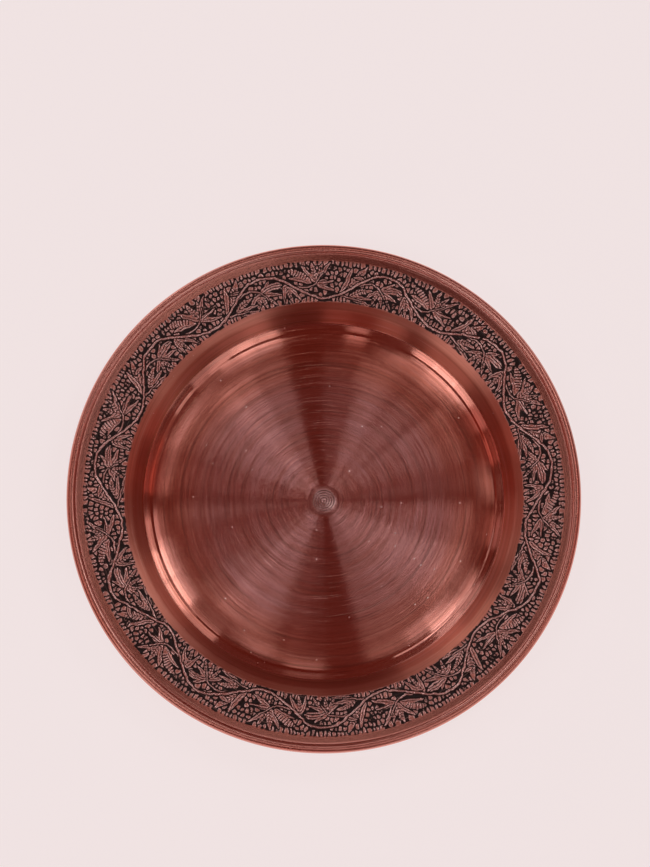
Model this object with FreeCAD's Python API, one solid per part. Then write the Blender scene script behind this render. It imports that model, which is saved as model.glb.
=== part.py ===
import FreeCAD, Part
import math
import os

# Round copper tray with a sloping flange and a wired, rolled edge, in two pieces:
#   tray_sheet  one spun disc: flat floor turning up towards its edge, small step, ledge, steep
#               wall, rounded shoulder, flange, and an outer edge curled down and under a wire
#   rim_wire    the stiffening wire inside the curl, a ring with its two ends butted
# Frame: origin at the centre of the floor's underside, +Z up along the tray's axis. Millimetres.

# ---- driving dimensions ----
OUTER_R = 150.0             # over the rolled edge
SHEET_T = 1.2
WIRE_R = 1.5
WIRE_PLAY = 0.05            # radial room between the wire and the curl
WIRE_GAP = 0.4              # between the wire's ends, along the ring

# Corners of the sheet's middle line, before they are rounded
TURN_R = 93.8               # the flat floor meets its turned-up edge
FLOOR_R = 101.4             # foot of the small step
FLOOR_TURN = 21.0           # degrees the floor's edge is turned up
STEP_R = 102.7              # top of the small step
STEP_RISE = 0.9
LEDGE_R, LEDGE_Z = 107.0, 6.3       # outer end of the ledge, foot of the wall
WALL_R, WALL_Z = 112.6, 15.4        # top of the straight wall
FLANGE_R, FLANGE_Z = 117.6, 18.3    # inner end of the flange
FLANGE_SLOPE = 12.2         # degrees the line from there to the curl's start rises outwards

# Bend radii of the middle line
TURN_BEND = 36.0
FLOOR_BEND = 1.4
STEP_BEND = 1.4
LEDGE_BEND = 1.9
WALL_BEND = 5.0
FLANGE_BEND = 7.0
CURL_BEND = 0.9

# The curl's ends, in degrees on its circle from the outermost point, positive over the top
CURL_START = 148.0
CURL_END = -156.0
CURL_LEAD = 0.75            # tangent from the flange's outer corner to the curl

# Lathe marks in the floor's top: a centre pip, and a V-shaped ring round it
PIP_R, PIP_DEPTH = 1.3, 0.25
PIP_BOTTOM_R = 0.35 * PIP_R
RING_R, RING_W, RING_DEPTH = 5.4, 0.7, 0.15

# ---- placing the curl and the wire ----
HALF_T = SHEET_T / 2
CURL_R = WIRE_R + WIRE_PLAY + HALF_T        # of the middle line
WIRE_X = OUTER_R - CURL_R - HALF_T
start_angle = math.radians(CURL_START)
JOIN_X = WIRE_X + CURL_R * math.cos(start_angle)
JOIN_Z = FLANGE_Z + (JOIN_X - FLANGE_R) * math.tan(math.radians(FLANGE_SLOPE))
WIRE_Z = JOIN_Z - CURL_R * math.sin(start_angle)

AXIS_POINT = FreeCAD.Vector(0, 0, 0)
UP = FreeCAD.Vector(0, 0, 1)


def point(x, z):
    return FreeCAD.Vector(x, 0, z)


def polar(centre, radius, angle):
    return centre + point(radius * math.cos(angle), radius * math.sin(angle))


def heading(start, end):
    """Angle above horizontal of the line from start to end."""
    return math.atan2(end.z - start.z, end.x - start.x)


def rounded(start, corners, end):
    """Lines from start to end through (x, z, bend radius) corners, with an arc at each corner.

    Items are ("line", start, end) or ("arc", centre, radius, start angle, end angle, side).
    Side is 1 where the centre is to the left of travel, above the sheet, and -1 below it.
    """
    vertices = [start] + [point(x, z) for x, z, bend in corners] + [end]
    items = []
    for i, (x, z, bend) in enumerate(corners, 1):
        corner = vertices[i]
        before = heading(vertices[i - 1], corner)
        after = heading(corner, vertices[i + 1])
        side = 1 if after > before else -1
        cut = bend * math.tan(abs(after - before) / 2)
        quarter = side * math.pi / 2
        bend_start = polar(corner, -cut, before)
        centre = polar(bend_start, bend, before + quarter)
        items.append(("line", start, bend_start))
        items.append(("arc", centre, bend, before - quarter, after - quarter, side))
        start = polar(corner, cut, after)
    items.append(("line", start, end))
    return items


def middle_line():
    """The sheet's middle line, from the tray's axis to the end of the curl."""
    floor_z = HALF_T + (FLOOR_R - TURN_R) * math.tan(math.radians(FLOOR_TURN))
    curl_corner_x = JOIN_X - CURL_LEAD * math.sin(start_angle)
    curl_corner_z = JOIN_Z + CURL_LEAD * math.cos(start_angle)
    corners = [
        (TURN_R, HALF_T, TURN_BEND),
        (FLOOR_R, floor_z, FLOOR_BEND),
        (STEP_R, floor_z + STEP_RISE, STEP_BEND),
        (LEDGE_R, LEDGE_Z, LEDGE_BEND),
        (WALL_R, WALL_Z, WALL_BEND),
        (FLANGE_R, FLANGE_Z, FLANGE_BEND),
        (curl_corner_x, curl_corner_z, CURL_BEND),
    ]
    items = rounded(point(0, HALF_T), corners, point(JOIN_X, JOIN_Z))
    curl_centre = point(WIRE_X, WIRE_Z)
    items.append(("arc", curl_centre, CURL_R, start_angle, math.radians(CURL_END), -1))
    return items


def offset(items, distance):
    """The items moved to their left (up, at the floor), as 2-point lines and 3-point arcs."""
    curves = []
    for kind, *values in items:
        if kind == "line":
            start, end = values
            left = heading(start, end) + math.pi / 2
            curves.append([polar(start, distance, left), polar(end, distance, left)])
        else:
            centre, radius, first, last, side = values
            angles = (first, (first + last) / 2, last)
            curves.append([polar(centre, radius - side * distance, a) for a in angles])
    return curves


def marked_floor(floor_end):
    """The floor's top face from the axis outwards, with the lathe marks cut in."""
    outline = [
        (0.0, SHEET_T - PIP_DEPTH),
        (PIP_BOTTOM_R, SHEET_T - PIP_DEPTH),
        (PIP_R, SHEET_T),
        (RING_R - RING_W / 2, SHEET_T),
        (RING_R, SHEET_T - RING_DEPTH),
        (RING_R + RING_W / 2, SHEET_T),
    ]
    points = [point(x, z) for x, z in outline] + [floor_end]
    return [[start, end] for start, end in zip(points, points[1:])]


def revolved(wire, degrees):
    """The solid swept by a closed wire about the tray's axis."""
    solid = Part.Face(wire).revolve(AXIS_POINT, UP, degrees).Solids[0]
    # The face's direction can turn the solid inside out.
    if solid.Volume < 0:
        solid.reverse()
    return solid


def tray_sheet():
    middle = middle_line()
    upper = offset(middle, HALF_T)
    lower = offset(middle, -HALF_T)
    upper = marked_floor(upper[0][-1]) + upper[1:]
    back = [curve[::-1] for curve in reversed(lower)]
    curves = upper + [[upper[-1][-1], back[0][0]]] + back
    # Each curve starts exactly where the one before ends, so that the wire closes.
    for previous, curve in zip(curves, curves[1:]):
        curve[0] = previous[-1]
    curves.append([curves[-1][-1], curves[0][0]])

    edges = []
    for curve in curves:
        make = Part.LineSegment if len(curve) == 2 else Part.Arc
        edges.append(make(*curve).toShape())
    return revolved(Part.Wire(edges), 360)


def rim_wire():
    """A ring short of a full turn by its gap, which is centred on +Y."""
    gap = math.degrees(WIRE_GAP / WIRE_X)
    section = Part.Circle(point(WIRE_X, WIRE_Z), FreeCAD.Vector(0, 1, 0), WIRE_R)
    solid = revolved(Part.Wire(section.toShape()), 360 - gap)
    solid.rotate(AXIS_POINT, UP, 90 + gap / 2)
    return solid


os.makedirs("parts", exist_ok=True)
for name, solid in (("tray_sheet", tray_sheet()), ("rim_wire", rim_wire())):
    assert solid.isValid() and solid.Volume > 0, name
    solid.exportStep("parts/%s.step" % name)
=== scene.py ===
# Round copper tray, 300 mm across: a spun floor, a flange chased with a vine band, and an edge
# rolled over a wire. It lies hollow side up, centred on the Z axis, the floor's underside on z = 0.
# Shapes are worked out in millimetres; make_mesh turns them into metres.
import math

import bpy
import numpy as np
from mathutils import Euler, Matrix


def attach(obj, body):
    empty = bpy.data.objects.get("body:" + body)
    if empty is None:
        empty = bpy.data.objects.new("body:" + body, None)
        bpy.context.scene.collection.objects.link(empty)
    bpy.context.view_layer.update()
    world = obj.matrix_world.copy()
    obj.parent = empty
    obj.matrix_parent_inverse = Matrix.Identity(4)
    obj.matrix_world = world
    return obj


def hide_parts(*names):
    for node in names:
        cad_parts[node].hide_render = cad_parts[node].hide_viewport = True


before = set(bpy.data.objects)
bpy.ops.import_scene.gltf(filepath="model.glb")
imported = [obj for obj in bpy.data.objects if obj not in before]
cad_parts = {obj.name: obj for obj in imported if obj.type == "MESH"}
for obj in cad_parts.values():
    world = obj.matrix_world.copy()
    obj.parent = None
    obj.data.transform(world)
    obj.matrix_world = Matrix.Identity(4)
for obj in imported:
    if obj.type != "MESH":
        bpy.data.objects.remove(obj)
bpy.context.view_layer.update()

# ---- the sheet's profile -----------------------------------------------------------------------
OUTER_R = 150.0
SHEET_T = 1.2
HALF_T = SHEET_T / 2
WIRE_R = 1.5
WIRE_PLAY = 0.05
# The middle line's corners: radius from the axis and height.
FLOOR_BEND_R = 93.8              # the flat floor starts to rise here
FLOOR_R = 101.4
FLOOR_RISE_DEG = 21.0
STEP_R, STEP_RISE = 102.7, 0.9
LEDGE_R, LEDGE_Z = 107.0, 6.3
WALL_R, WALL_Z = 112.6, 15.4
FLANGE_R, FLANGE_Z = 117.6, 18.3
FLANGE_SLOPE_DEG = 12.2
# The curl round the wire, as angles about the wire, from where the flange joins it.
JOIN_DEG, CURL_END_DEG = 148.0, -156.0
CURL_LEAD = 0.75                 # straight part on the curl's tangent, before the join

# The chased band, measured along the middle line.
BAND_INNER_R = 116.8
BAND_W = 24.6


def filleted(corners):
    """Lines and arcs through corners (radius, height, fillet radius)."""
    pieces, start = [], corners[0][:2]
    for before, (x, z, fillet), after in zip(corners, corners[1:], corners[2:]):
        heading_in = math.atan2(z - before[1], x - before[0])
        heading_out = math.atan2(after[1] - z, after[0] - x)
        bend = (heading_out - heading_in + math.pi) % (2 * math.pi) - math.pi
        cut = fillet * math.tan(abs(bend) / 2)
        end = (x - cut * math.cos(heading_in), z - cut * math.sin(heading_in))
        side = 1 if bend > 0 else -1
        centre = (
            end[0] - side * fillet * math.sin(heading_in),
            end[1] + side * fillet * math.cos(heading_in),
        )
        quarter = side * math.pi / 2
        pieces.append(("line", start, end))
        pieces.append(("arc", centre, fillet, heading_in - quarter, heading_out - quarter, side))
        start = (x + cut * math.cos(heading_out), z + cut * math.sin(heading_out))
    pieces.append(("line", start, corners[-1][:2]))
    return pieces


def middle_line():
    """The whole middle line: filleted corners, then the curl round the wire."""
    curl_r = WIRE_R + WIRE_PLAY + HALF_T
    wire_x = OUTER_R - curl_r - HALF_T
    join = math.radians(JOIN_DEG)
    join_x = wire_x + curl_r * math.cos(join)
    join_z = FLANGE_Z + (join_x - FLANGE_R) * math.tan(math.radians(FLANGE_SLOPE_DEG))
    wire_z = join_z - curl_r * math.sin(join)
    floor_end = HALF_T + (FLOOR_R - FLOOR_BEND_R) * math.tan(math.radians(FLOOR_RISE_DEG))
    pieces = filleted([             # radius, height, fillet radius
        (0.0, HALF_T, 0),
        (FLOOR_BEND_R, HALF_T, 36.0),
        (FLOOR_R, floor_end, 1.4),
        (STEP_R, floor_end + STEP_RISE, 1.4),
        (LEDGE_R, LEDGE_Z, 1.9),
        (WALL_R, WALL_Z, 5.0),
        (FLANGE_R, FLANGE_Z, 7.0),
        (join_x - CURL_LEAD * math.sin(join), join_z + CURL_LEAD * math.cos(join), 0.9),
        (join_x, join_z, 0),
    ])
    pieces.append(("arc", (wire_x, wire_z), curl_r, join, math.radians(CURL_END_DEG), -1))
    return pieces


def piece_length(piece):
    if piece[0] == "line":
        return math.hypot(piece[2][0] - piece[1][0], piece[2][1] - piece[1][1])
    return piece[2] * abs(piece[4] - piece[3])


MIDDLE = middle_line()
LENGTHS = [piece_length(piece) for piece in MIDDLE]
STARTS = np.concatenate([[0], np.cumsum(LENGTHS)])
SHEET_END = float(STARTS[-1])


def section(along, offset):
    """Radius and height at arc lengths along the middle line, moved off to its upper side."""
    along = np.asarray(along, float)
    offset = np.broadcast_to(offset, along.shape)
    x, z = np.zeros_like(along), np.zeros_like(along)
    which = np.clip(np.searchsorted(STARTS, along, side="right") - 1, 0, len(MIDDLE) - 1)
    for k, piece in enumerate(MIDDLE):
        here = which == k
        if not here.any():
            continue
        gone, off = along[here] - STARTS[k], offset[here]
        if piece[0] == "line":
            (x0, z0), (x1, z1) = piece[1:]
            dir_x, dir_z = (x1 - x0) / LENGTHS[k], (z1 - z0) / LENGTHS[k]
            x[here] = x0 + dir_x * gone - dir_z * off
            z[here] = z0 + dir_z * gone + dir_x * off
        else:
            _, centre, radius, angle0, _, side = piece
            angle = angle0 + side * gone / radius
            reach = radius - side * off
            x[here] = centre[0] + reach * np.cos(angle)
            z[here] = centre[1] + reach * np.sin(angle)
    return x, z


def station_of(radius):
    """Arc length at which the middle line first reaches a radius."""
    along = np.linspace(0, SHEET_END, 60001)
    x, _ = section(along, 0.0)
    return float(along[np.argmax(x >= radius)])


def stations(start, end, straight, bend_deg, shortest):
    """Arc lengths from start to end: close together round bends, straight apart elsewhere."""
    out = [start]
    for k, piece in enumerate(MIDDLE):
        low, high = max(start, STARTS[k]), min(end, STARTS[k + 1])
        if high - low < 1e-6:
            continue
        step = straight
        if piece[0] == "arc":
            step = max(shortest, piece[2] * math.radians(bend_deg))
        count = max(1, int(math.ceil((high - low) / step)))
        out += list(low + (high - low) * np.arange(1, count + 1) / count)
    return np.array(out)


BAND_START = station_of(BAND_INNER_R)
BAND_END = BAND_START + BAND_W

# ---- the chased band: u runs round the band, v runs outwards across it --------------------------
REPEATS = 11
BAND_MID_R = 129.2
BAND_PHASE = math.radians(43.9)      # where the first length of vine starts
CELL = 0.1                           # across the band
PITCH = 2 * math.pi * BAND_MID_R / REPEATS
BAND_ROUND = REPEATS * PITCH
REPEAT_COLS = 736
COLS = REPEATS * REPEAT_COLS
ROWS = round(BAND_W / CELL) + 1
COL_W = BAND_ROUND / COLS
V_AXIS = np.arange(ROWS) * CELL
V_MIN, V_MAX = 0.4, 24.1             # the vine's points stay between these

EDGE = 0.26                          # width of a raised shape's sloping edge
LEAF_TOP, LEAF_GAP = 0.40, 0.78      # height, and width of the groove cleared round it
CUT = 0.36                           # depth of a leaf's chased lines
BORDER = 0.34                        # the band's plain borders above its ground

rng = np.random.default_rng(4117)
relief = np.zeros((ROWS, COLS), np.float32)              # raised height above the ground
clearance = np.full((ROWS, COLS), 9.0, np.float32)       # distance to the nearest raised shape

# Leaves of one repeat: the base (u, v), then the lobes.
# Lobe: tip u, tip v, half-width, sideways bend, veins, shape.
LEAVES = [
    ((68.9, 10.2), [                 # broad leaf under the arch
        (55.6, 12.2, 2.5, -0.14, "stripes", "round"),
        (57.2, 6.6, 1.45, 0.06, "plain", "star"),
        (60.9, 1.0, 1.5, -0.05, "ribs", "star"),
        (67.0, 0.6, 1.55, 0.03, "ribs", "star"),
        (73.4, 0.7, 1.6, 0.06, "ribs", "star"),
        (78.4, 2.6, 1.3, 0.12, "plain", "star"),
        (62.6, 16.6, 1.5, 0.10, "plain", "star"),
    ]),
    ((53.6, 12.2), [                 # three-pointed leaf in the fork
        (45.6, 1.2, 1.55, -0.10, "plain", "star"),
        (50.6, 0.6, 1.9, 0.0, "ribs", "star"),
        (55.6, 0.8, 1.35, 0.05, "plain", "star"),
    ]),
    ((35.0, 11.4), [                 # leaf on the stalk that leaves the arch
        (23.2, 6.6, 1.5, 0.10, "plain", "star"),
        (23.6, 12.6, 1.75, 0.06, "stripes", "star"),
        (25.6, 23.2, 1.5, -0.04, "plain", "star"),
        (31.4, 22.6, 1.6, 0.02, "ribs", "star"),
        (37.4, 23.6, 2.3, 0.0, "ribs", "star"),
        (43.2, 22.0, 1.7, -0.04, "plain", "star"),
    ]),
    ((38.0, 10.9), [
        (51.6, 19.4, 2.0, 0.17, "cross", "round"),
        (51.2, 15.0, 1.2, 0.08, "plain", "spear"),
    ]),
    # Spear leaves standing on the stem's low part.
    ((20.6, 4.6), [(6.2, 23.0, 2.35, 0.12, "ribs", "spear")]),
    ((19.6, 6.0), [(13.8, 21.4, 1.35, 0.12, "plain", "spear")]),
    # Curled leaves on the tendril.
    ((14.5, 3.2), [
        (0.8, 8.8, 1.6, -0.15, "ribs", "spear"),
        (-1.2, 4.4, 1.1, -0.04, "plain", "spear"),
    ]),
    ((12.0, 2.3), [(-1.4, 0.9, 0.9, 0.04, "plain", "spear")]),
    ((4.6, 13.6), [(11.8, 15.8, 1.1, 0.14, "plain", "spear")]),
]
# Stalks: half-width at the start and at the end, then points (u, v).
STALKS = [
    (0.48, 0.30, [(86.8, 8.7), (80.3, 12.2), (76.2, 12.9), (72.2, 12.2), (69.3, 10.8),
                  (66.9, 7.9), (65.4, 5.6)]),
    (0.50, 0.28, [(54.7, 14.0), (50.1, 11.0), (44.8, 9.1), (40.2, 8.8), (37.0, 9.9),
                  (34.7, 11.8), (30.6, 17.0)]),
    (0.44, 0.26, [(22.1, 3.9), (19.2, 4.3), (11.6, 3.0), (5.8, 2.3)]),
]
# The main stem's points (u, v).
STEM = [
    (-0.6, 17.9), (1.7, 16.6), (5.2, 14.1), (8.1, 12.3), (11.6, 9.7), (15.7, 7.2), (19.8, 5.0),
    (25.0, 2.9), (30.3, 2.1), (34.9, 2.6), (40.7, 4.9), (48.3, 9.4), (54.1, 13.9), (57.3, 16.3),
    (61.7, 18.2), (67.6, 18.8),
]


def smooth(x):
    x = np.clip(x, 0.0, 1.0)
    return x * x * (3 - 2 * x)


def curve(points, step):
    """A smooth line through points (Catmull-Rom), about step apart."""
    knots = np.asarray(points, float)
    knots = np.vstack([2 * knots[0] - knots[1], knots, 2 * knots[-1] - knots[-2]])
    out = []
    for i in range(1, len(knots) - 2):
        count = max(2, int(np.hypot(*(knots[i + 1] - knots[i])) / step))
        t = np.arange(count)[:, None] / count
        a, b, c, d = knots[i - 1 : i + 3]
        square = (2 * a - 5 * b + 4 * c - d) * t**2
        out.append(0.5 * (2 * b + (c - a) * t + square + (3 * b - a - 3 * c + d) * t**3))
    out.append(knots[-2][None])
    return np.vstack(out)


def window(line, pad):
    """Cell indices within pad of a line, wrapped round the band, and the cells' coordinates."""
    (u0, v0), (u1, v1) = line.min(0) - pad, line.max(0) + pad
    cols = np.arange(int(math.floor(u0 / COL_W)), int(math.ceil(u1 / COL_W)) + 1)
    rows = np.arange(max(0, int(v0 / CELL)), min(ROWS, int(v1 / CELL) + 2))
    return np.ix_(rows, cols % COLS), (cols * COL_W)[None, :], V_AXIS[rows][:, None]


def stamp(cells, dist, top, gap):
    """Raises a shape given its signed distance (negative inside), after clearing a groove."""
    height = relief[cells]
    height = np.where(dist < gap, height * smooth((dist - 0.30) / (gap - 0.30)), height)
    relief[cells] = np.maximum(height, top * smooth(0.5 - dist / EDGE))
    clearance[cells] = np.minimum(clearance[cells], dist)


def nearest(line, cell_u, cell_v):
    """For each cell: distance to the line, arc length there, the side it is on, and the line's
    third column there, if it has one. Also the line's whole length."""
    seg = line[1:, :2] - line[:-1, :2]
    length = np.hypot(seg[:, 0], seg[:, 1]) + 1e-9
    start = np.concatenate([[0], np.cumsum(length)[:-1]])
    best = np.full(np.broadcast(cell_u, cell_v).shape, 1e9)
    along, side, extra = np.zeros_like(best), np.ones_like(best), np.zeros_like(best)
    for k, (seg_u, seg_v) in enumerate(seg):
        du, dv = cell_u - line[k, 0], cell_v - line[k, 1]
        t = np.clip((du * seg_u + dv * seg_v) / length[k] ** 2, 0, 1)
        dist = np.hypot(du - t * seg_u, dv - t * seg_v)
        closer = dist < best
        best = np.where(closer, dist, best)
        along = np.where(closer, start[k] + t * length[k], along)
        side = np.where(closer, np.sign(seg_u * dv - seg_v * du), side)
        if line.shape[1] > 2:
            extra = np.where(closer, line[k, 2] + t * (line[k + 1, 2] - line[k, 2]), extra)
    return best, along, side, extra, start[-1] + length[-1]


def ridge(points, half_start, half_end, top=0.42, gap=0.72):
    """A raised stem whose half-width goes from half_start to half_end."""
    line = curve(points, step=0.6)
    half = np.linspace(half_start, half_end, len(line))
    pad = max(half_start, half_end) + gap + 0.3
    cells, cell_u, cell_v = window(line, pad)
    signed = np.full((cell_v.shape[0], cell_u.shape[1]), 9.0)
    crown = np.zeros_like(signed)
    chunk = 10                       # each stretch of line only touches the cells near it
    for k in range(0, len(line) - 1, chunk):
        part = np.column_stack([line[k : k + chunk + 1], half[k : k + chunk + 1]])
        col0, col1 = np.searchsorted(cell_u[0], [part[:, 0].min() - pad, part[:, 0].max() + pad])
        row0, row1 = np.searchsorted(
            cell_v[:, 0], [part[:, 1].min() - pad, part[:, 1].max() + pad]
        )
        near = np.s_[row0:row1, col0:col1]
        dist, _, _, width, _ = nearest(part, cell_u[:, col0:col1], cell_v[row0:row1])
        bulge = np.sqrt(np.clip(1 - (dist / np.maximum(width, 0.1)) ** 2, 0, 1))
        closer = dist - width < signed[near]
        crown[near] = np.where(closer, 0.78 + 0.22 * bulge, crown[near])
        signed[near] = np.minimum(signed[near], dist - width)
    stamp(cells, signed, top * crown, gap)


def lobe_width(shape, half, part):
    """Half-width of a lobe at a part (0 to 1) of the way from base to tip."""
    if shape == "star":        # fullest a third of the way out, still broad at the base
        return half * np.clip(1 - part, 0, 1) ** 0.62 * (0.62 + 0.55 * smooth(part / 0.4))
    # A spear is narrow at the base with a long point; the other is round-shouldered.
    skew, power = (0.85, 0.8) if shape == "spear" else (1.15, 0.55)
    return half * np.clip(1 - (2 * part**skew - 1) ** 2, 0, 1) ** power


def lobe_cuts(veins, dist, along, side, part):
    """Depth of the lines chased into a lobe."""
    if veins == "stripes":
        wave = np.cos(2 * math.pi * (dist * side / 1.45 + 0.5))
        return CUT * smooth((wave - 0.20) / 0.5) * smooth((part - 0.04) / 0.1)
    if veins == "cross":
        wave = np.cos(2 * math.pi * along / 1.6)
        return CUT * smooth((wave - 0.20) / 0.5) * smooth((part - 0.15) / 0.1)
    ends = np.exp(-((dist / 0.24) ** 2))
    midrib = CUT * ends * smooth((part - 0.03) / 0.1) * smooth((0.88 - part) / 0.12)
    if veins == "plain":
        return midrib
    wave = np.cos(2 * math.pi * ((along - 0.8 * dist) / 1.75 + 0.3))
    cuts = CUT * smooth((wave - 0.28) / 0.50) * smooth((dist - 0.15) / 0.2)
    return np.maximum(midrib, cuts * smooth((0.9 - part) / 0.2))


def leaf(base, lobes):
    """A leaf of pointed lobes (tip, half-width, bend, veins, shape) run together at the base."""
    base = np.asarray(base, float)
    lines = []
    for tip, _, bend, _, _ in lobes:
        tip = np.asarray(tip, float)
        axis = tip - base
        mid = (base + tip) / 2 + np.array([-axis[1], axis[0]]) * bend
        t = np.linspace(0, 1, 15)[:, None]
        lines.append((1 - t) ** 2 * base + 2 * t * (1 - t) * mid + t**2 * tip)
    pad = max(lobe[1] for lobe in lobes) + LEAF_GAP + 0.3
    cells, cell_u, cell_v = window(np.vstack(lines), pad)
    signed = np.full((cell_v.shape[0], cell_u.shape[1]), 9.0)
    top = np.zeros_like(signed)
    for line, (_, half, _, veins, shape) in zip(lines, lobes):
        dist, along, side, _, total = nearest(line, cell_u, cell_v)
        part = np.clip(along / total, 0, 1)
        width = lobe_width(shape, half, part)
        swell = np.clip(1 - (dist / np.maximum(width, 0.2)) ** 2, 0, 1)
        height = LEAF_TOP * (0.80 + 0.30 * swell) - lobe_cuts(veins, dist, along, side, part)
        top = np.where(dist - width < signed, height, top)
        signed = np.minimum(signed, dist - width)
    stamp(cells, signed, top, LEAF_GAP)


def draw_repeat(k):
    """One length of vine, varied a little every time. Returns the main stem's points."""
    phase = rng.uniform(0, 2 * math.pi, 6)
    sway = rng.normal(0, 0.30, 6)

    def drift(u, v):
        # A slow drift of every point, none at the repeat's ends so that the stems meet.
        fade = math.sin(math.pi * min(1, max(0, (u + 6) / (PITCH + 12))))
        fade = min(1.0, max(0.0, fade) * 2.5)
        du = fade * (
            sway[0] * math.sin(u / 6.1 + phase[0])
            + sway[1] * math.sin(v / 4.3 + phase[1])
            + sway[2] * math.sin(u / 13 + phase[2])
        )
        dv = fade * (
            sway[3] * math.sin(u / 7.3 + phase[3])
            + sway[4] * math.sin(u / 4.1 + phase[4]) * 0.5
        )
        return (k * PITCH + u + du, min(V_MAX, max(V_MIN, v + dv)))

    def vary(u, v, half, *rest):
        tip = drift(u + rng.normal(0, 0.35), v + rng.normal(0, 0.2))
        return (tip, half * rng.uniform(0.93, 1.1), *rest)

    for base, lobes in LEAVES:
        leaf(drift(*base), [vary(*lobe) for lobe in lobes])
    for half_start, half_end, points in STALKS:
        ridge([drift(*point) for point in points], half_start, half_end)
    return [drift(*point) for point in STEM]


def draw_vine():
    stem = []
    for k in range(REPEATS):
        stem += draw_repeat(k)
    stem += [(u + BAND_ROUND, v) for u, v in stem[:2]]
    ridge(stem, 0.55, 0.55, top=0.50, gap=0.85)


def draw_pellets():
    """Covers the ground between with punched pellets, close together."""
    margin = 0.3
    count_u = int(round(BAND_ROUND / 2.35))
    count_v = int(round((BAND_W - 2 * margin) / 2.95))
    step_u = BAND_ROUND / count_u
    step_v = (BAND_W - 2 * margin) / count_v
    grid = (count_v, count_u)
    pellet_u = (np.arange(count_u)[None, :] + 0.5 + rng.uniform(-0.27, 0.27, grid)) * step_u
    lane = rng.uniform(-0.27, 0.27, grid)
    lane[0] *= 0.3
    lane[-1] *= 0.3
    pellet_v = (np.arange(count_v)[:, None] + 0.5 + lane) * step_v + margin
    pellet_u += (np.arange(count_v)[:, None] % 2) * 0.5 * step_u
    row = np.clip((pellet_v / CELL).astype(int), 0, ROWS - 1)
    keep = clearance[row, (pellet_u / COL_W).astype(int) % COLS] > 0.80
    keep &= rng.uniform(0, 1, grid) > 0.03
    ringed = rng.uniform(0, 1, grid) < 0.16
    tall = rng.uniform(0.86, 1.06, grid)

    # Distance to the nearest pellet and to the next, with the nearest one's kind and height.
    cell_u = (np.arange(COLS) * COL_W)[None, :]
    cell_v = V_AXIS[:, None]
    home_u = (cell_u / step_u).astype(int)
    home_v = np.clip(((cell_v - margin) / step_v).astype(int), 0, count_v - 1)
    first = np.full((ROWS, COLS), 9.0, np.float32)
    second = np.full((ROWS, COLS), 9.0, np.float32)
    ring_here = np.zeros((ROWS, COLS), bool)
    tall_here = np.ones((ROWS, COLS), np.float32)
    for dj in (-2, -1, 0, 1, 2):
        inside = (home_v + dj >= 0) & (home_v + dj < count_v)
        j = np.clip(home_v + dj, 0, count_v - 1)
        for di in (-2, -1, 0, 1, 2):
            i = (home_u + di) % count_u
            du = (cell_u - pellet_u[j, i] + BAND_ROUND / 2) % BAND_ROUND - BAND_ROUND / 2
            dv = (cell_v - pellet_v[j, i]) * 0.80
            dist = ((np.abs(du) ** 2.6 + np.abs(dv) ** 2.6) ** (1 / 2.6)).astype(np.float32)
            dist = np.where(keep[j, i] & inside, dist, 9.0)
            closer = dist < first
            second = np.where(closer, first, np.minimum(second, dist))
            ring_here = np.where(closer, ringed[j, i], ring_here)
            tall_here = np.where(closer, tall[j, i], tall_here)
            first = np.where(closer, dist, first)
    # Depth inside a pellet's edge: from its neighbour, from the vine, and from its own size.
    inset = np.minimum(np.minimum((second - first) / 2 - 0.34, clearance - 0.66), 1.45 - first)
    dome = np.clip(inset / 0.85, 0, 1)
    height = 0.40 * tall_here * (0.60 + 0.40 * np.sqrt(dome * (2 - dome)))
    height = height - 0.26 * ring_here * np.exp(-(((first - 0.50) / 0.18) ** 2))
    height = height * smooth(0.5 + inset / 0.24)
    relief[:] = np.maximum(relief, height.astype(np.float32))


def box_mean(padded, reach):
    """Mean over reach cells each way along the second axis, of an array padded by reach."""
    total = np.cumsum(np.pad(padded, ((0, 0), (1, 0))), 1, dtype=np.float64)
    size = 2 * reach + 1
    return ((total[:, size:] - total[:, :-size]) / size).astype(np.float32)


def blur(field, reach):
    """Box blur twice, wrapping along the band."""
    for _ in range(2):
        field = box_mean(np.pad(field, ((0, 0), (reach, reach)), mode="wrap"), reach)
        field = box_mean(np.pad(field, ((reach, reach), (0, 0)), mode="edge").T, reach).T
    return field


def noise_wrap(size_u, size_v, seed):
    """Smooth random field about 0, from a coarse random grid, wrapping along the band."""
    count_u = max(4, int(round(BAND_ROUND / size_u)))
    count_v = int(math.ceil(BAND_W / size_v)) + 3
    coarse = np.random.default_rng(seed).normal(0, 1, (count_v, count_u))
    x = np.arange(COLS) * count_u / COLS
    y = V_AXIS / size_v
    col, row = x.astype(int), y.astype(int)
    part_u, part_v = smooth(x - col)[None, :], smooth(y - row)[:, None]

    def blended(rows):
        left = coarse[np.ix_(rows, col % count_u)]
        right = coarse[np.ix_(rows, (col + 1) % count_u)]
        return left * (1 - part_u) + right * part_u

    return (blended(row) * (1 - part_v) + blended(row + 1) * part_v).astype(np.float32)


def cell_wander(seed):
    """Whole cells by which each outline wanders."""
    cells = np.rint(2.6 * noise_wrap(2.6, 2.6, seed) + 1.3 * noise_wrap(0.9, 0.9, seed + 1))
    return np.clip(cells.astype(int), -6, 6)


def border_wander(short, long, seed):
    """Unevenness of a border line: one row of noise in two sizes."""
    return 0.16 * noise_wrap(short, 30, seed)[:1] + 0.12 * noise_wrap(long, 30, seed + 1)[:1]


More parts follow.
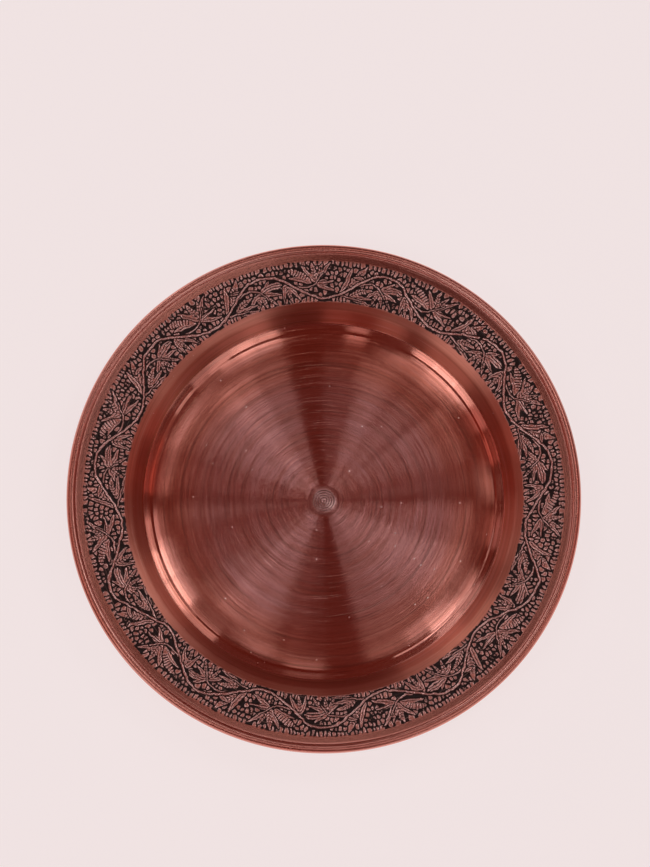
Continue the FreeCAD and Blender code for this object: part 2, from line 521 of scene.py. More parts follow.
def finish_band():
    """Heights against the sheet's face (mm), how much black oxide is left (0 to 1), and how much
    each place stands out from what is round it (0 to 1): rubbed bright there, and painted
    highlight."""
    # The punch never falls quite true.
    shift_u, shift_v = cell_wander(21), cell_wander(23)
    rows = np.clip(np.arange(ROWS)[:, None] + shift_v, 0, ROWS - 1)
    carved = relief[rows, (np.arange(COLS)[None, :] + shift_u) % COLS]
    cell_v = V_AXIS[:, None]
    inner = smooth((0.30 + border_wander(1.1, 3.0, 5) - cell_v) / 0.3 + 0.5)
    outer = smooth((cell_v - (BAND_W - 0.30) - border_wander(1.2, 3.4, 7)) / 0.3 + 0.5)
    border = np.maximum(inner, outer)
    ground = 0.035 * noise_wrap(0.45, 0.45, 9)
    worn = carved * (1 + 0.10 * noise_wrap(5, 5, 10) + 0.09 * noise_wrap(1.3, 1.3, 11))
    height = np.maximum(worn, 0) + ground * (carved < 0.12)
    height = height * (1 - border) + BORDER * border
    height = blur(height, 1)
    dark = smooth((0.27 - height) / 0.13)
    dark = np.maximum(dark, smooth((blur(height, 5) - height - 0.020) / 0.07))
    halo = blur(dark, 4)
    patchy = 0.12 * noise_wrap(2.2, 2.2, 12) * halo
    dark = np.clip(dark + 0.25 * smooth((halo - 0.3) / 0.5) + patchy, 0, 1)
    dark = dark * (1 - 0.85 * border)
    # Rubbing and painted highlight: the parts that stand out from their surroundings are marked to
    # be lightened.
    rubbed_and_highlit = smooth((height - blur(height, 4) - 0.015) / 0.085) * (1 - border) * (1 - dark)
    # Broad shapes swell a little, so their sides catch the light.
    height = height + 0.5 * (blur(height, 8) - 0.2) * (1 - border)
    return height - BORDER, dark, rubbed_and_highlit


# ---- meshes ------------------------------------------------------------------------------------
def make_mesh(name, points, quads, tris, attributes=None):
    """A mesh object from millimetre points. attributes: name -> one number per vertex."""
    points = np.asarray(points, np.float32) / 1000.0
    quads, tris = np.asarray(quads, np.int32), np.asarray(tris, np.int32)
    mesh = bpy.data.meshes.new(name)
    mesh.vertices.add(len(points))
    mesh.vertices.foreach_set("co", points.ravel())
    loops = np.concatenate([quads.ravel(), tris.ravel()])
    mesh.loops.add(len(loops))
    mesh.loops.foreach_set("vertex_index", loops)
    starts = np.concatenate([np.arange(len(quads)) * 4, quads.size + np.arange(len(tris)) * 3])
    mesh.polygons.add(len(starts))
    mesh.polygons.foreach_set("loop_start", starts.astype(np.int32))
    mesh.update(calc_edges=True)
    mesh.polygons.foreach_set("use_smooth", np.ones(len(starts), bool))
    for key, values in (attributes or {}).items():
        layer = mesh.attributes.new(key, "FLOAT", "POINT")
        layer.data.foreach_set("value", np.asarray(values, np.float32))
    mesh.update()
    mesh.set_sharp_from_angle(angle=math.radians(72))
    mesh.validate()
    ob = bpy.data.objects.new(name, mesh)
    bpy.context.scene.collection.objects.link(ob)
    return ob


def grid_faces(index):
    """Quads of a 2-D array of vertex numbers."""
    corners = [index[:-1, :-1], index[:-1, 1:], index[1:, 1:], index[1:, :-1]]
    return np.stack(corners, -1).reshape(-1, 4)


def zip_strip(a, b):
    """Triangles and quads between two rows of vertex numbers, where the rows have the same
    steps or one has twice the steps of the other."""
    if len(a) == len(b):
        return np.zeros((0, 3), int), np.stack([a[:-1], a[1:], b[1:], b[:-1]], -1)
    flip = len(a) < len(b)
    fine, coarse = (b, a) if flip else (a, b)
    f0, f1, f2 = fine[:-2:2], fine[1:-1:2], fine[2::2]
    c0, c1 = coarse[:-1], coarse[1:]
    fans = [(f0, f1, c0), (f1, c1, c0), (f1, f2, c1)]
    tris = np.concatenate([np.stack(fan, -1) for fan in fans])
    if flip:
        tris = tris[:, ::-1]
    return tris, np.zeros((0, 4), int)


def lathe(name, radii, heights, counts, closed_loop=False, lift=None):
    """A body of revolution from a chain of radii and heights. A chain that starts and ends on the
    axis, or a closed loop, gives a closed solid. lift gives the height to add to each ring."""
    rings, points, first = [], [], 0
    for k, (radius, height, count) in enumerate(zip(radii, heights, counts)):
        if radius < 1e-6:
            points.append([[0.0, 0.0, height]])
            rings.append(np.array([first]))
            first += 1
            continue
        angle = 2 * math.pi * np.arange(count) / count
        x, y = radius * np.cos(angle), radius * np.sin(angle)
        z = np.full(count, height)
        if lift is not None:
            z = z + lift(k, radius, x, y)
        points.append(np.stack([x, y, z], -1))
        rings.append(np.concatenate([np.arange(first, first + count), [first]]))
        first += count
    quads, tris = [], []
    pairs = list(zip(rings[:-1], rings[1:]))
    if closed_loop:
        pairs.append((rings[-1], rings[0]))
    for a, b in pairs:
        if len(a) == 1:
            tris.append(np.stack([np.full(len(b) - 1, a[0]), b[:-1], b[1:]], -1))
        elif len(b) == 1:
            tris.append(np.stack([a[:-1], np.full(len(a) - 1, b[0]), a[1:]], -1))
        else:
            strip_tris, strip_quads = zip_strip(b, a)
            tris.append(strip_tris)
            quads.append(strip_quads)
    return make_mesh(name, np.vstack(points), np.vstack(quads), np.vstack(tris))


# ---- the pieces: one sheet, cut along the band's borders so that each part keeps full detail -----
loose = np.random.default_rng(77)
FULL_TURN = 2 * math.pi
# Unevenness: wavelength, direction, phase, height.
WAVES = [
    (loose.uniform(18, 46), loose.uniform(0, FULL_TURN), loose.uniform(0, FULL_TURN),
     loose.uniform(0.002, 0.005))
    for _ in range(9)
]
# Turning marks: wavelength, phase, height.
TURNS = [
    (loose.uniform(3.4, 9.0), loose.uniform(0, FULL_TURN), loose.uniform(0.0008, 0.0022))
    for _ in range(8)
]
# Single tool lines: radius, width, height.
TOOL_LINES = [
    (33.0, 0.9, -0.012), (52.5, 0.8, -0.020), (54.6, 0.7, 0.012),
    (71.0, 1.2, -0.010), (86.5, 0.9, -0.014), (94.0, 1.4, 0.010),
]
# Raised rings of the centre mark: each rises sharply and falls away gently outwards.
MARK_STEP = 1.4
MARKS = 1.7 + MARK_STEP * np.arange(4)
MARK_HALF_RISE = 0.17
MARK_FALL = math.tan(math.radians(4.6))
FLOOR_EDGE_R = 99.4              # the plain floor's even rings end here


def floor_height(radius):
    """What the lathe left on the floor's upper face."""
    z = np.zeros_like(radius)
    fade = smooth((radius - 11.0) / 6.0) * smooth((100.0 - radius) / 4.0)
    for wave, phase, height in TURNS:
        z = z + fade * height * np.sin(2 * math.pi * radius / wave + phase)
    for line_r, width, height in TOOL_LINES:
        z = z + height * np.exp(-(((radius - line_r) / width) ** 2))
    return z + centre_mark(radius)


def centre_mark(radius):
    """The low boss and the rings at the centre, summed inwards from their slopes."""
    step = 0.02
    fine = np.arange(0.0, 10.01, step)
    fall = MARK_FALL * smooth((10.0 - fine) / 4.2)
    rise = MARK_FALL * MARK_STEP / (2 * MARK_HALF_RISE)
    for mark_r in MARKS:
        fall = np.where(np.abs(fine - mark_r) < MARK_HALF_RISE, fall - rise, fall)
    fall = np.convolve(np.pad(fall, 6, mode="edge"), np.ones(13) / 13.0, mode="valid")
    fall = np.where(fine < 1.1, 0.0, fall)
    up = np.cumsum(fall[::-1])[::-1] * step
    return np.interp(radius, fine, up, right=0.0) - 0.26 * smooth((1.2 - radius) / 0.9)


def uneven(x, y):
    """The slight unevenness of hand-held work."""
    z = 0.0
    for wave, turn, phase, height in WAVES:
        across = x * math.cos(turn) + y * math.sin(turn)
        z = z + height * np.sin(2 * math.pi * across / wave + phase)
    return z


def well():
    """Floor, step and wall, out to the band."""
    floor_edge = station_of(FLOOR_EDGE_R)
    top_along = np.concatenate([
        np.arange(0, 11.05, 0.085),
        np.arange(11.1, 25.0, 0.4),
        np.arange(25.0, floor_edge - 0.5, 0.92),
        [floor_edge],
        stations(floor_edge, BAND_START, straight=0.9, bend_deg=8.0, shortest=0.14)[1:],
    ])
    top_r, top_z = section(top_along, HALF_T)
    top_z = top_z + np.where(top_r < 100.4, floor_height(top_r), 0.0)
    top_counts = [60 if r < 2.4 else 120 if r < 8.6 else 240 if r < 25 else 480 for r in top_r]
    low_along = np.concatenate([
        np.arange(0, floor_edge, 3.0),
        stations(floor_edge, BAND_START, straight=2.0, bend_deg=12.0, shortest=0.25),
    ])[::-1]
    low_r, low_z = section(low_along, -HALF_T)
    low_counts = [60 if r < 9.9 else 120 if r < 24.0 else 240 for r in low_r]

    def lift(k, radius, x, y):
        if k >= len(top_r):
            return 0.0
        to_band = BAND_START - top_along[k]
        keep = smooth(to_band / 6.0) if to_band < 6 else 1.0
        return keep * uneven(x, y) * min(1.0, radius / 12)

    radii, heights = np.concatenate([top_r, low_r]), np.concatenate([top_z, low_z])
    return lathe("sheet_well", radii, heights, top_counts + low_counts, lift=lift)


def rolled_edge():
    top = stations(BAND_END, SHEET_END, straight=0.5, bend_deg=7.0, shortest=0.16)
    low = stations(BAND_END, SHEET_END, straight=0.7, bend_deg=8.0, shortest=0.2)[::-1]
    faces = [section(top, HALF_T), section(low, -HALF_T)]
    radii, heights = np.concatenate(faces, axis=1)
    return lathe("sheet_rolled_edge", radii, heights, [480] * len(radii), closed_loop=True)


def band_sectors(height, dark, rubbed_and_highlit):
    """Eleven lengths of chased flange, each one repeat of the vine long."""
    steps_u, steps_v = REPEAT_COLS // 2, 124
    v = np.linspace(0, BAND_W, steps_v + 1)
    row = np.clip(v / CELL, 0, ROWS - 1.001)
    row0 = row.astype(int)
    part = (row - row0)[:, None]
    soft = blur(height, 7)                # the punches show through, softly, on the back
    fade_top = (smooth(v / 0.2) * smooth((BAND_W - v) / 0.2))[:, None]
    fade_back = (smooth(v / 1.6) * smooth((BAND_W - v) / 1.6))[::2][:, None]

    def face(along, lift, angle):
        r, z = section(along, lift)
        return np.stack([r * np.cos(angle), r * np.sin(angle), z], -1)

    sectors = []
    for k in range(REPEATS):
        steps = np.arange(steps_u + 1) * 2 + k * REPEAT_COLS
        cols = steps % COLS

        def sample(field):
            return field[row0][:, cols] * (1 - part) + field[row0 + 1][:, cols] * part

        angle = BAND_PHASE + steps * COL_W / BAND_MID_R
        relief_top = sample(height) * fade_top
        relief_back = 0.55 * (sample(soft)[::2, ::2] + 0.12) * fade_back
        along = np.broadcast_to((BAND_START + v)[:, None], relief_top.shape)
        top = face(along, HALF_T + relief_top, angle)
        back = face(along[::2, ::2], -HALF_T + relief_back, angle[::2])
        a = np.arange(top[..., 0].size).reshape(top.shape[:2])
        b = a.size + np.arange(back[..., 0].size).reshape(back.shape[:2])
        edges = [(a[0], b[0]), (b[-1], a[-1]), (b[:, 0], a[:, 0]), (a[:, -1], b[:, -1])]
        plain = np.zeros(b.size)
        sectors.append(make_mesh(
            "sheet_chased_band_%02d" % (k + 1),
            np.vstack([top.reshape(-1, 3), back.reshape(-1, 3)]),
            np.vstack([grid_faces(a)[:, ::-1], grid_faces(b)]),
            np.vstack([zip_strip(*edge)[0] for edge in edges]),
            {
                "oxide": np.concatenate([sample(dark).ravel(), plain]),
                # worn: rubbed places together with painted highlight on the raised parts
                "worn": np.concatenate([sample(rubbed_and_highlit).ravel(), plain]),
            },
        ))
    return sectors


# ---- materials ---------------------------------------------------------------------------------
class Nodes:
    """Short ways to add shader nodes to a material or world. Values are numbers or sockets."""

    def __init__(self, owner):
        self.owner = owner
        owner.use_nodes = True
        self.tree = owner.node_tree
        self.tree.nodes.clear()

    def put(self, socket, value):
        if isinstance(value, bpy.types.NodeSocket):
            self.tree.links.new(value, socket)
        else:
            socket.default_value = value

    def add(self, kind, inputs=None, **props):
        node = self.tree.nodes.new(kind)
        for key, value in props.items():
            setattr(node, key, value)
        for key, value in (inputs or {}).items():
            self.put(node.inputs[key], value)
        return node

    def math(self, operation, a, b=0.0, c=0.0, clamp=False):
        inputs = {0: a, 1: b, 2: c}
        return self.add("ShaderNodeMath", inputs, operation=operation, use_clamp=clamp).outputs[0]

    def plus(self, a, b, clamp=False):
        return self.math("ADD", a, b, clamp=clamp)

    def minus(self, a, b):
        return self.math("SUBTRACT", a, b)

    def times(self, a, b):
        return self.math("MULTIPLY", a, b)

    def sway(self, noise, amount):
        """Noise about its middle, scaled."""
        return self.times(self.minus(noise, 0.5), amount)

    def span(self, value, start, end, to=(0.0, 1.0), kind="SMOOTHSTEP"):
        """Goes from to[0] to to[1] as value goes from start to end."""
        inputs = dict(enumerate((value, start, end, *to)))
        node = self.add("ShaderNodeMapRange", inputs, interpolation_type=kind, clamp=True)
        return node.outputs[0]

    def xyz(self, x, y, z):
        return self.add("ShaderNodeCombineXYZ", {0: x, 1: y, 2: z}).outputs[0]

    def split(self, vector):
        return self.add("ShaderNodeSeparateXYZ", {0: vector}).outputs

    def noise(self, vector, scale, detail=2.0, rough=0.5):
        inputs = {"Vector": vector, "Scale": scale, "Detail": detail, "Roughness": rough}
        return self.add("ShaderNodeTexNoise", inputs).outputs["Fac"]

    def mix(self, share, a, b, how="MIX"):
        def colour(value):
            return value if isinstance(value, bpy.types.NodeSocket) else (*value, 1)

        inputs = {0: share, 6: colour(a), 7: colour(b)}
        return self.add("ShaderNodeMix", inputs, data_type="RGBA", blend_type=how).outputs[2]

    def tint(self, base, colour, mask, share):
        return self.mix(self.times(mask, share), base, colour)

    def mix_shader(self, share, a, b):
        return self.add("ShaderNodeMixShader", {0: share, 1: a, 2: b}).outputs[0]

    def attribute(self, name):
        props = {"attribute_type": "GEOMETRY", "attribute_name": name}
        return self.add("ShaderNodeAttribute", **props).outputs["Fac"]

    def position(self):
        return self.add("ShaderNodeNewGeometry").outputs["Position"]

    def output(self, shader, kind="ShaderNodeOutputMaterial"):
        self.add(kind, {"Surface": shader})
        return self.owner


PINK = (0.80, 0.385, 0.325)      # freshly spun copper
RED = (0.67, 0.225, 0.155)       # copper warmed by handling
BROWN = (0.30, 0.120, 0.085)     # thin brown oxide
BLACK = (0.011, 0.007, 0.007)    # liver-of-sulphur black
LINE_PINK = (0.93, 0.52, 0.44)   # bright spin lines
# painted reflected light: the red that light bounced round the well casts on its wall
WALL_BOUNCE_RED = (0.62, 0.215, 0.135)
MARK_HIGHLIGHT_PALE = (0.97, 0.82, 0.80)   # centre mark, painted highlight: paled towards white as by a strong glint
MARK_GROOVE_SHADE = (0.15, 0.045, 0.04)  # painted shade in the centre mark's grooves
ROLL_HIGHLIGHT_PINK = (0.94, 0.60, 0.52)   # painted highlight: a bright line on the rolled edge
WORN_HIGHLIGHT_PINK = (0.98, 0.70, 0.66)   # rubbed high parts of the band, and painted highlight on them
NICK_PINK = (0.95, 0.66, 0.58)
SCRATCH_PINK = (0.93, 0.60, 0.50)
FLOOR_GAIN = (0.98, 1.20, 1.40)  # multiplies the floor's colour inwards
GLINT_SIGN = 1.0                 # sends the floor's glint across the grooves


class Copper(Nodes):
    """What the three coppers share: masks and noises (lengths in mm), colour, wear and bump."""

    def __init__(self, name):
        super().__init__(bpy.data.materials.new(name))
        geometry = self.add("ShaderNodeNewGeometry").outputs
        self.place, self.normal = geometry["Position"], geometry["Normal"]
        x, y, _ = self.split(self.place)
        squares = self.plus(self.times(x, x), self.times(y, y))
        self.radius = self.times(self.math("SQRT", squares), 1000.0)
        safe = self.math("MAXIMUM", self.radius, 0.05)
        self.out_x = self.math("DIVIDE", self.times(x, 1000.0), safe)
        self.out_y = self.math("DIVIDE", self.times(y, 1000.0), safe)
        self.under = self.span(self.split(self.normal)[2], start=-0.02, end=-0.25)

        self.fine = self.turned(lines=2.6, changes=1.6, seed=3.1, detail=3.0, rough=0.65)
        self.mid = self.turned(lines=0.55, changes=1.1, seed=9.7, detail=3.0, rough=0.6)
        self.smudge = self.noise(self.place, scale=75.0, detail=4.0, rough=0.6)
        # Long faint circular scratches, and single small bright nicks scattered thinly.
        arc = self.turned(lines=3.4, changes=2.6, seed=1.9, detail=1.0, rough=0.4)
        self.scratch = self.span(arc, start=0.66, end=0.78)
        spots = self.add(
            "ShaderNodeTexVoronoi", {"Vector": self.place, "Scale": 260.0}, feature="F1"
        ).outputs
        pick = self.split(spots["Color"])
        chosen = self.math("GREATER_THAN", pick[0], 0.86)
        power = self.span(pick[1], start=0.1, end=1.0, to=(0.15, 1.0), kind="LINEAR")
        spot = self.span(spots["Distance"], start=0.12, end=0.05)
        self.nick = self.times(spot, self.times(chosen, power))

    def turned(self, lines, changes, seed, detail, rough):
        """Noise drawn out along the lathe's turns: lines to the millimetre across, changes
        round a turn."""
        vector = self.xyz(
            self.times(self.radius, lines),
            self.math("MULTIPLY_ADD", self.out_x, changes, seed),
            self.times(self.out_y, changes),
        )
        return self.noise(vector, scale=1.0, detail=detail, rough=rough)

    def spun_colour(self):
        broad = self.turned(lines=0.085, changes=0.7, seed=5.3, detail=2.0, rough=0.5)
        cloud = self.noise(self.place, scale=22.0, detail=3.0, rough=0.55)
        tone = self.plus(self.sway(self.mid, amount=0.5), self.sway(broad, amount=0.5))
        tone = self.plus(tone, self.sway(cloud, amount=0.4))
        base = self.mix(self.span(tone, start=-0.42, end=0.42), RED, PINK)
        base = self.tint(base, BROWN, self.span(self.smudge, start=0.50, end=0.75), share=0.15)
        # Spin lines, about a millimetre apart and never quite complete.
        line = self.turned(lines=1.05, changes=0.9, seed=7.7, detail=3.0, rough=0.7)
        wide = self.turned(lines=0.42, changes=0.5, seed=2.2, detail=2.0, rough=0.6)
        base = self.tint(base, BROWN, self.span(line, start=0.52, end=0.72), share=0.50)
        base = self.tint(base, LINE_PINK, self.span(line, start=0.46, end=0.30), share=0.22)
        return self.tint(base, BROWN, self.span(wide, start=0.55, end=0.72), share=0.30)

    def marked_rough(self, rough):
        rough = self.plus(rough, self.sway(self.fine, amount=0.06))
        rough = self.plus(rough, self.times(self.scratch, 0.05))
        return self.plus(rough, self.times(self.nick, 0.28))

    def aged(self, base, rough):
        """Nicks and scratches in the colour; the unpolished underside duller and browner."""
        base = self.tint(base, NICK_PINK, self.nick, share=0.7)
        base = self.tint(base, SCRATCH_PINK, self.scratch, share=0.35)
        base = self.tint(base, BROWN, self.under, share=0.45)
        return base, self.plus(rough, self.times(self.under, 0.10), clamp=True)

    def marks(self):
        """Height of the turning marks, scratches and nicks, for the bump."""
        height = self.plus(self.times(self.fine, 0.9), self.times(self.scratch, -1.2))
        height = self.plus(height, self.times(self.mid, 1.2))
        return self.plus(height, self.times(self.nick, -2.5))

    def bump(self, height, strength, **more):
        inputs = {"Height": height, "Strength": strength, "Distance": 0.00002, **more}
        return self.add("ShaderNodeBump", inputs).outputs[0]

    def tangent(self):
        return self.add("ShaderNodeTangent", direction_type="RADIAL", axis="Z").outputs[0]

    def lacquered(self, base, metal, rough, aniso, shine, bump):
        """The whole material, with clear lacquer on the face only."""
        shader = self.add("ShaderNodeBsdfPrincipled", {
            "Base Color": base,
            "Metallic": metal,
            "Normal": bump,
            "Roughness": rough,
            "Anisotropic": aniso,
            "Specular IOR Level": shine,
            "Coat Weight": self.times(self.minus(1.0, self.under), 0.5),
            "Coat Roughness": 0.22,
            "Tangent": self.tangent(),
        })
        return self.output(shader.outputs[0])


def spun_copper():
    """The well. Its glint is wide across the grooves and narrow along them on the floor, tighter
    on the step, soft on the wall, and the same all round on the centre mark."""
    mat = Copper("copper_spun")
    radius = mat.radius
    wall = mat.span(radius, start=105.6, end=107.4)
    step = mat.span(radius, start=97.0, end=101.0)
    centre = mat.span(radius, start=10.5, end=6.5)
    base = mat.spun_colour()
    gained = mat.mix(1.0, base, FLOOR_GAIN, how="MULTIPLY")
    base = mat.mix(mat.span(radius, start=90.0, end=62.0), base, gained)
    # Painted reflected light: the wall deepened to the red of light bounced inside the well.
    base = mat.tint(base, WALL_BOUNCE_RED, wall, share=0.45)
    # Painted highlight: the centre mark is paled towards white, where its glint would be.
    base = mat.tint(base, MARK_HIGHLIGHT_PALE, mat.span(radius, start=9.5, end=5.0), share=0.60)
    # Painted shade: the mark's grooves are darkened between its painted highlight.
    turn = mat.math("DIVIDE", mat.plus(radius, 0.25), MARK_STEP)
    saw = mat.math("ABSOLUTE", mat.minus(mat.math("FRACT", turn), 0.5))
    near = mat.span(radius, start=7.2, end=6.4)
    groove = mat.times(mat.span(saw, start=0.24, end=0.12), near)
    share = mat.span(mat.mid, start=0.35, end=0.6, to=(0.55, 0.92))
    base = mat.tint(base, MARK_GROOVE_SHADE, groove, share)

    rough = mat.span(mat.mid, start=0.25, end=0.75, to=(0.158, 0.172), kind="LINEAR")
    for mask, change in ((step, -0.040), (wall, 0.195), (centre, 0.050)):
        rough = mat.plus(rough, mat.times(mask, change))
    aniso = mat.span(radius, start=97.0, end=101.0, to=(0.817, 0.684))
    aniso = mat.times(aniso, mat.minus(1.0, centre))
    base, rough = mat.aged(base, mat.marked_rough(rough))

    # Turning marks lean the surface in or out.
    ridges = mat.turned(lines=1.7, changes=0.7, seed=6.1, detail=2.0, rough=0.6)
    lean_floor = mat.span(radius, start=6.5, end=13.0, to=(0.0, 0.26))
    lean_step = mat.span(radius, start=97.0, end=101.0, to=(1.0, 0.3))
    lean = mat.sway(ridges, mat.times(lean_floor, lean_step))
    outward = mat.xyz(mat.out_x, mat.out_y, 0.0)
    kind = "ShaderNodeVectorMath"
    away = mat.add(kind, {0: outward, "Scale": lean}, operation="SCALE").outputs[0]
    tipped = mat.add(kind, {0: mat.normal, 1: away}, operation="ADD").outputs[0]
    unit = mat.add(kind, {0: tipped}, operation="NORMALIZE").outputs[0]
    bump = mat.bump(mat.marks(), strength=0.35, Normal=unit)

    even = mat.add("ShaderNodeBsdfPrincipled", {
        "Base Color": base,
        "Metallic": 1.0,
        "Normal": bump,
        "Roughness": mat.plus(rough, 0.12, clamp=True),
    })
    # The Glossy shader, whose anisotropy reaches further.
    glossy = mat.add("ShaderNodeBsdfAnisotropic", {
        "Color": base,
        "Roughness": rough,
        "Anisotropy": mat.times(aniso, GLINT_SIGN),
        "Tangent": mat.tangent(),
        "Normal": bump,
    }, distribution="GGX")
    # A little of the light spreads evenly.
    return mat.output(mat.mix_shader(0.94, even.outputs[0], glossy.outputs[0]))


def rim_copper():
    mat = Copper("copper_rim")
    rough = mat.span(mat.mid, start=0.25, end=0.75, to=(0.22, 0.28), kind="LINEAR")
    base = mat.spun_colour()
    # A brown ring inside the roll, and a painted highlight ring on it: rise and fall radii, in mm.
    for colour, share, rise, fall in (
        (BROWN, 0.55, (139.6, 141.2), (144.2, 143.4)),
        (ROLL_HIGHLIGHT_PINK, 0.45, (143.8, 144.6), (146.8, 146.0)),
    ):
        ring = mat.times(mat.span(mat.radius, *rise), mat.span(mat.radius, *fall))
        base = mat.tint(base, colour, ring, share)
    base, rough = mat.aged(base, mat.marked_rough(rough))
    bump = mat.bump(mat.marks(), strength=0.35)
    return mat.lacquered(base, metal=1.0, rough=rough, aniso=0.9, shine=0.5, bump=bump)


def chased_copper():
    """The band: rubbed bright, and painted with highlight, where it stands out; black in the
    ground.
    """
    mat = Copper("copper_chased")
    rough = mat.span(mat.smudge, start=0.25, end=0.75, to=(0.26, 0.34), kind="LINEAR")
    rough = mat.marked_rough(rough)
    # worn carries both rubbing and painted highlight on the raised parts.
    oxide, worn = mat.attribute("oxide"), mat.attribute("worn")
    grain = mat.noise(mat.place, scale=2600.0, detail=2.0, rough=0.6)
    oxide = mat.plus(oxide, mat.sway(grain, amount=0.35), clamp=True)
    # Rubbing and painted highlight: raised parts lightened to pale pink.
    base = mat.mix(worn, mat.mix(0.10, mat.spun_colour(), BROWN), WORN_HIGHLIGHT_PINK)
    rough = mat.plus(rough, mat.times(worn, -0.06))
    oxide = mat.times(oxide, mat.minus(1.0, mat.under))
    base = mat.mix(oxide, base, BLACK)
    rough = mat.plus(rough, mat.times(oxide, 0.30), clamp=True)
    base, rough = mat.aged(base, rough)
    punched = mat.noise(mat.place, scale=1900.0, detail=2.0, rough=0.6)
    height = mat.plus(mat.times(mat.marks(), 0.5), mat.times(punched, 1.5))
    return mat.lacquered(
        base,
        metal=mat.minus(0.96, mat.times(oxide, 0.92)),
        rough=rough,
        aniso=0.3,
        shine=mat.span(oxide, start=0.1, end=0.8, to=(0.5, 0.12)),
        bump=mat.bump(height, strength=0.5),
    )


def wire_metal():
    mat = Nodes(bpy.data.materials.new("drawn_wire"))
    place = mat.position()
    fine = mat.noise(place, scale=900.0, detail=3.0, rough=0.6)
    broad = mat.noise(place, scale=140.0, detail=2.0, rough=0.5)
    dark_grey, light_grey, rust = (0.34, 0.34, 0.35), (0.52, 0.51, 0.50), (0.20, 0.11, 0.07)
    base = mat.mix(mat.span(broad, start=0.35, end=0.7), dark_grey, light_grey)
    base = mat.tint(base, rust, mat.span(fine, start=0.58, end=0.75), share=0.5)
    bump = mat.add("ShaderNodeBump", {"Height": fine, "Strength": 0.3, "Distance": 0.00003})
    shader = mat.add("ShaderNodeBsdfPrincipled", {
        "Base Color": base,
        "Metallic": 0.9,
        "Roughness": mat.span(fine, start=0.3, end=0.7, to=(0.32, 0.5)),
        "Normal": bump.outputs[0],
    })
    return mat.output(shader.outputs[0])


def studio_paper():
    """Part diffuse, part glowing."""
    mat = Nodes(bpy.data.materials.new("studio_paper"))
    mottle = mat.noise(mat.position(), scale=3.0)
    paper = mat.mix(mottle, (0.86, 0.775, 0.775), (0.88, 0.795, 0.795))
    diffuse = mat.add("ShaderNodeBsdfDiffuse", {"Color": paper})
    glow_inputs = {"Color": (0.854, 0.789, 0.789, 1), "Strength": 1.40}
    glow = mat.add("ShaderNodeEmission", glow_inputs)
    return mat.output(mat.mix_shader(0.62, diffuse.outputs[0], glow.outputs[0]))


# ---- put together ------------------------------------------------------------------------------
draw_vine()
draw_pellets()
pieces = [well(), rolled_edge()] + band_sectors(*finish_band())
skins = {"sheet_well": spun_copper(), "sheet_rolled_edge": rim_copper()}
band_skin = chased_copper()
for ob in pieces:
    ob.data.materials.append(skins.get(ob.name, band_skin))
    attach(ob, "root")
    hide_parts("tray_sheet")
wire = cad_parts["rim_wire"]
steel = wire_metal()
for slot in wire.material_slots:
    slot.material = steel
if not wire.material_slots:
    wire.data.materials.append(steel)

# ---- stage, light and camera, in metres --------------------------------------------------------
bpy.ops.mesh.primitive_plane_add(size=14.0, location=(0, 0, -0.00015))
floor = bpy.context.object
floor.name = "studio_floor"
floor.data.materials.append(studio_paper())


def make_world():
    """Pale to the camera, dim red to everything else."""
    world = bpy.data.worlds.new("studio")
    bpy.context.scene.world = world
    sky = Nodes(world)
    seen = sky.add("ShaderNodeLightPath").outputs["Is Camera Ray"]
    dim, pale = [
        sky.add("ShaderNodeBackground", {"Color": (*colour, 1), "Strength": 1.0}).outputs[0]
        for colour in ((0.119, 0.026, 0.019), (0.86, 0.77, 0.77))
    ]
    sky.output(sky.mix_shader(seen, dim, pale), kind="ShaderNodeOutputWorld")


make_world()

LAMP_AWAY = 1.6
# A lamp's width and height, by its zenith angle.
LAMP_SIZES = {
    14: (0.068, 0.336), 26: (0.122, 0.336), 38: (0.172, 0.336),
    50: (0.214, 0.336), 62: (0.247, 0.336), 75: (0.27, 0.393),
}
# Azimuth, zenith, power, and green and blue where they differ from soft_box's own.
LIGHTS = [
    (5, 14, 0.142), (5, 50, 0.202, 0.334, 0.283), (25, 14, 0.116), (25, 38, 0.172, 0.862, 0.853),
    (35, 38, 0.453), (35, 50, 0.114), (35, 75, 0.177), (45, 38, 0.439), (45, 50, 0.197),
    (45, 75, 0.192), (55, 50, 0.188), (75, 26, 0.12), (85, 38, 0.123), (105, 26, 0.077),
    (115, 26, 0.167), (115, 75, 0.334), (125, 38, 0.391), (125, 75, 0.657), (135, 38, 0.181),
    (135, 62, 0.302), (135, 75, 0.085), (145, 75, 0.16), (155, 38, 0.079, 0.667, 0.642),
    (155, 75, 0.374), (165, 26, 0.121, 0.966, 0.966), (165, 75, 0.325, 0.703, 0.682),
    (175, 75, 0.139, 0.22, 0.16), (185, 50, 0.257, 0.43, 0.387), (195, 38, 0.099, 0.634, 0.607),
    (195, 50, 0.067, 0.22, 0.16), (205, 14, 0.143), (205, 26, 0.157), (205, 38, 0.238),
    (215, 26, 0.115), (215, 38, 0.365), (215, 75, 0.355), (225, 14, 0.104), (225, 38, 0.348),
    (225, 75, 0.349), (245, 75, 0.422, 0.879, 0.871), (255, 26, 0.096, 0.794, 0.78),
    (255, 75, 0.141, 0.345, 0.295), (265, 75, 0.301, 0.585, 0.555), (295, 26, 0.144),
    (295, 38, 0.121), (295, 75, 0.498), (305, 26, 0.149), (305, 38, 0.231), (305, 75, 0.206),
    (315, 26, 0.099), (315, 38, 0.127), (315, 50, 0.213), (325, 38, 0.103), (325, 62, 0.208),
    (335, 50, 0.236), (335, 75, 0.232), (345, 50, 0.059, 0.712, 0.692),
    (345, 75, 0.264, 0.583, 0.552), (355, 50, 0.145, 0.428, 0.385),
]


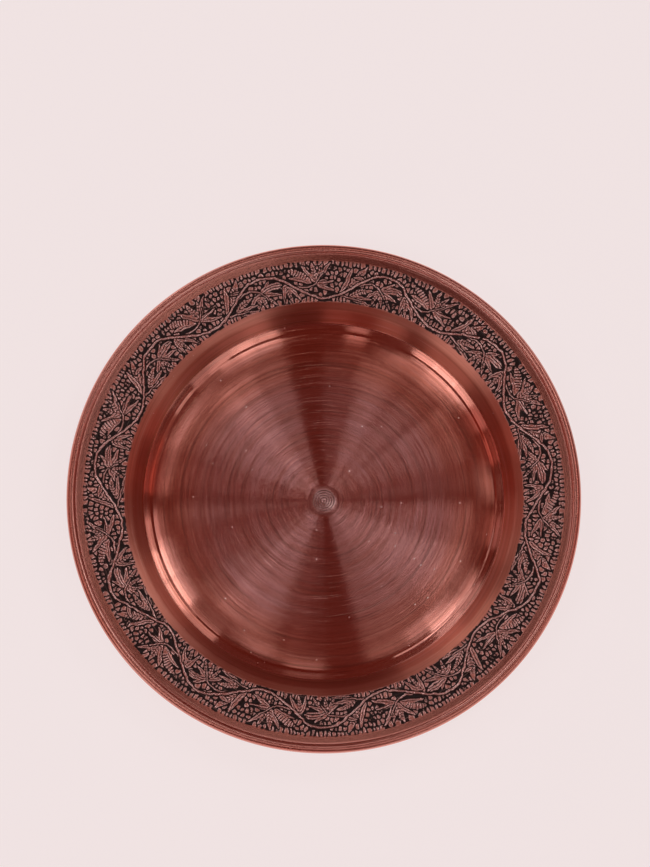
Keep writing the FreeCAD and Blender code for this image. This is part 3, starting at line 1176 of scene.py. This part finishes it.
def soft_box(name, azimuth, zenith, power, green=0.97, blue=0.97):
    """A soft box facing the tray, azimuth counter-clockwise from +X, zenith from straight up.
    Its width runs round the tray and its height up and down."""
    turn, tilt = math.radians(azimuth), math.radians(zenith)
    away = np.array([
        math.sin(tilt) * math.cos(turn), math.sin(tilt) * math.sin(turn), math.cos(tilt)
    ])
    side = np.array([-math.sin(turn), math.cos(turn), 0.0])
    light = bpy.data.lights.new(name, "AREA")
    light.shape = "RECTANGLE"
    light.size, light.size_y = LAMP_SIZES[zenith]
    light.energy = power
    light.color = (1, green, blue)
    ob = bpy.data.objects.new(name, light)
    bpy.context.scene.collection.objects.link(ob)
    pose = np.eye(4)
    pose[:3] = np.column_stack([side, np.cross(away, side), away, away * LAMP_AWAY])
    ob.matrix_world = Matrix(pose.tolist())


for number, row in enumerate(LIGHTS, 1):
    soft_box("lamp_%02d" % number, *row)

# The camera leans 9 degrees off the tray's axis, towards -Y, and looks straight at its target.
CAMERA_LEAN = math.radians(9.0)
CAMERA_AWAY = 1.30
TARGET_Z = 0.024
SENSOR_W = 36.0
TRAY_SHARE = 0.5940023068        # the tray's width as a share of the view's long side
SHIFT_X, SHIFT_Y = 0.001384083045, 0.07035755479     # of the view's long side

camera_data = bpy.data.cameras.new("camera")
camera = bpy.data.objects.new("camera", camera_data)
bpy.context.scene.collection.objects.link(camera)
bpy.context.scene.camera = camera
camera.rotation_euler = Euler((CAMERA_LEAN, 0.0, 0.0))
camera.location = (
    0.0,
    -CAMERA_AWAY * math.sin(CAMERA_LEAN),
    TARGET_Z + CAMERA_AWAY * math.cos(CAMERA_LEAN),
)
camera_data.sensor_fit = "AUTO"
camera_data.sensor_width = SENSOR_W
camera_data.lens = SENSOR_W * CAMERA_AWAY * TRAY_SHARE / (2 * OUTER_R / 1000)
camera_data.shift_x = SHIFT_X
camera_data.shift_y = SHIFT_Y
camera_data.clip_start, camera_data.clip_end = 0.01, 50.0

view = bpy.context.scene.view_settings
view.view_transform = "Standard"
view.look = "None"
view.exposure = 0.0
view.gamma = 1.0
